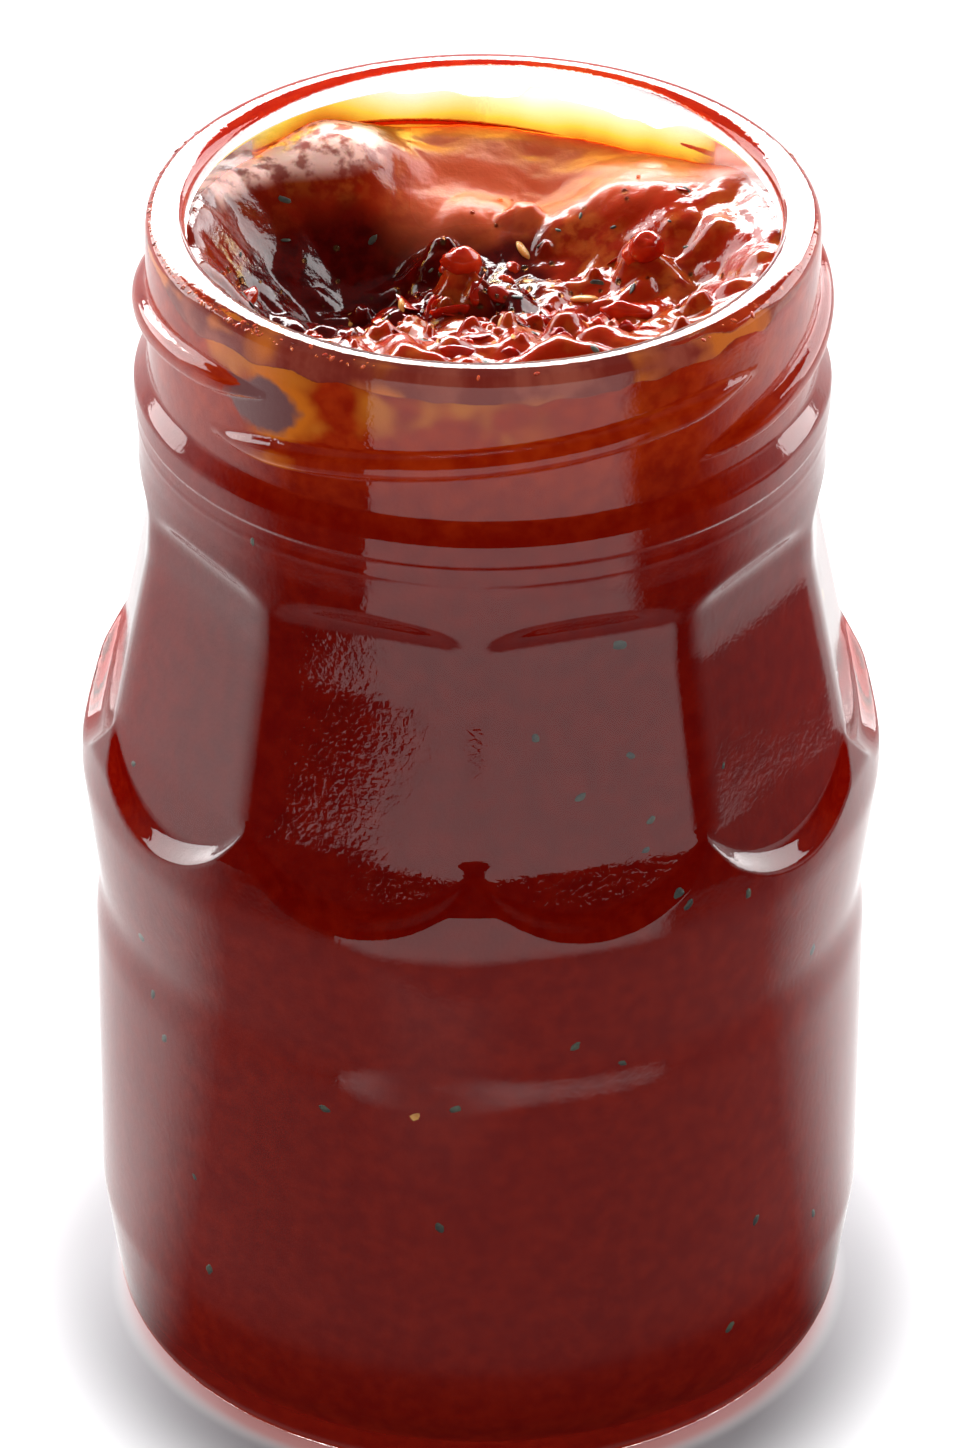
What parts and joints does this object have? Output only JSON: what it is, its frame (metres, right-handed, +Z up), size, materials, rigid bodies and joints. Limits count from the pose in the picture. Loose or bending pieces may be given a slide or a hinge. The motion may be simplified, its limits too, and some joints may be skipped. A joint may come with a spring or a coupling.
{
  "type": "jar of harissa",
  "caption": "Open glass jar with a threaded mouth, faceted shoulders and a plain label panel, filled to just under the rim with spooned-out red chilli paste.",
  "frame": {"origin": "centre of the base, on the surface that the jar stands on", "axes": "+Z up along the jar's axis, -Y the front"},
  "size_m": [0.0666, 0.0666, 0.105],
  "materials": {
    "glass": "gloss",
    "paste": "wet, oily"
  },
  "bodies": {
    "root": {"glass_jar": "glass", "harissa": "paste"}
  },
  "joints": []
}
